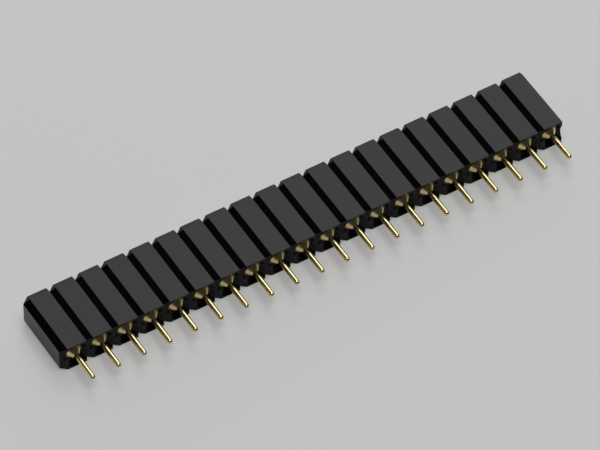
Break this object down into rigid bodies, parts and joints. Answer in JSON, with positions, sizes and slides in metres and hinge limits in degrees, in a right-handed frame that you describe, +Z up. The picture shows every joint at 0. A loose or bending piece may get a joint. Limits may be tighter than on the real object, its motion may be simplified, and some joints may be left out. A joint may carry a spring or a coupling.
{
  "type": "turned-pin header strip",
  "caption": "Single-row header strip lying flat: a glossy black moulding notched between its positions, with slim round gold tails on one long side and spring-lined sockets in the other.",
  "frame": {"origin": "centre of the strip's footprint, tails included, on the surface that its broad side lies on", "axes": "+X along the row from contact_01 to contact_20, -Y the way the tails point, +Z up through the thickness of the strip"},
  "size_m": [0.0508, 0.01, 0.0027],
  "materials": {
    "black_moulding": "glossy moulded thermoplastic with crisp moulded edges",
    "gold_contact": "turned brass with bright gold plating and fine turning marks",
    "gold_clip": "stamped copper-alloy sheet with gold plating"
  },
  "bodies": {
    "root": {"insulator": "black_moulding", "contact_01": "gold_contact", "contact_02": "gold_contact", "contact_03": "gold_contact", "contact_04": "gold_contact", "contact_05": "gold_contact", "contact_06": "gold_contact", "contact_07": "gold_contact", "contact_08": "gold_contact", "contact_09": "gold_contact", "contact_10": "gold_contact", "contact_11": "gold_contact", "contact_12": "gold_contact", "contact_13": "gold_contact", "contact_14": "gold_contact", "contact_15": "gold_contact", "contact_16": "gold_contact", "contact_17": "gold_contact", "contact_18": "gold_contact", "contact_19": "gold_contact", "contact_20": "gold_contact", "clip_01": "gold_clip", "clip_02": "gold_clip", "clip_03": "gold_clip", "clip_04": "gold_clip", "clip_05": "gold_clip", "clip_06": "gold_clip", "clip_07": "gold_clip", "clip_08": "gold_clip", "clip_09": "gold_clip", "clip_10": "gold_clip", "clip_11": "gold_clip", "clip_12": "gold_clip", "clip_13": "gold_clip", "clip_14": "gold_clip", "clip_15": "gold_clip", "clip_16": "gold_clip", "clip_17": "gold_clip", "clip_18": "gold_clip", "clip_19": "gold_clip", "clip_20": "gold_clip"}
  },
  "joints": []
}
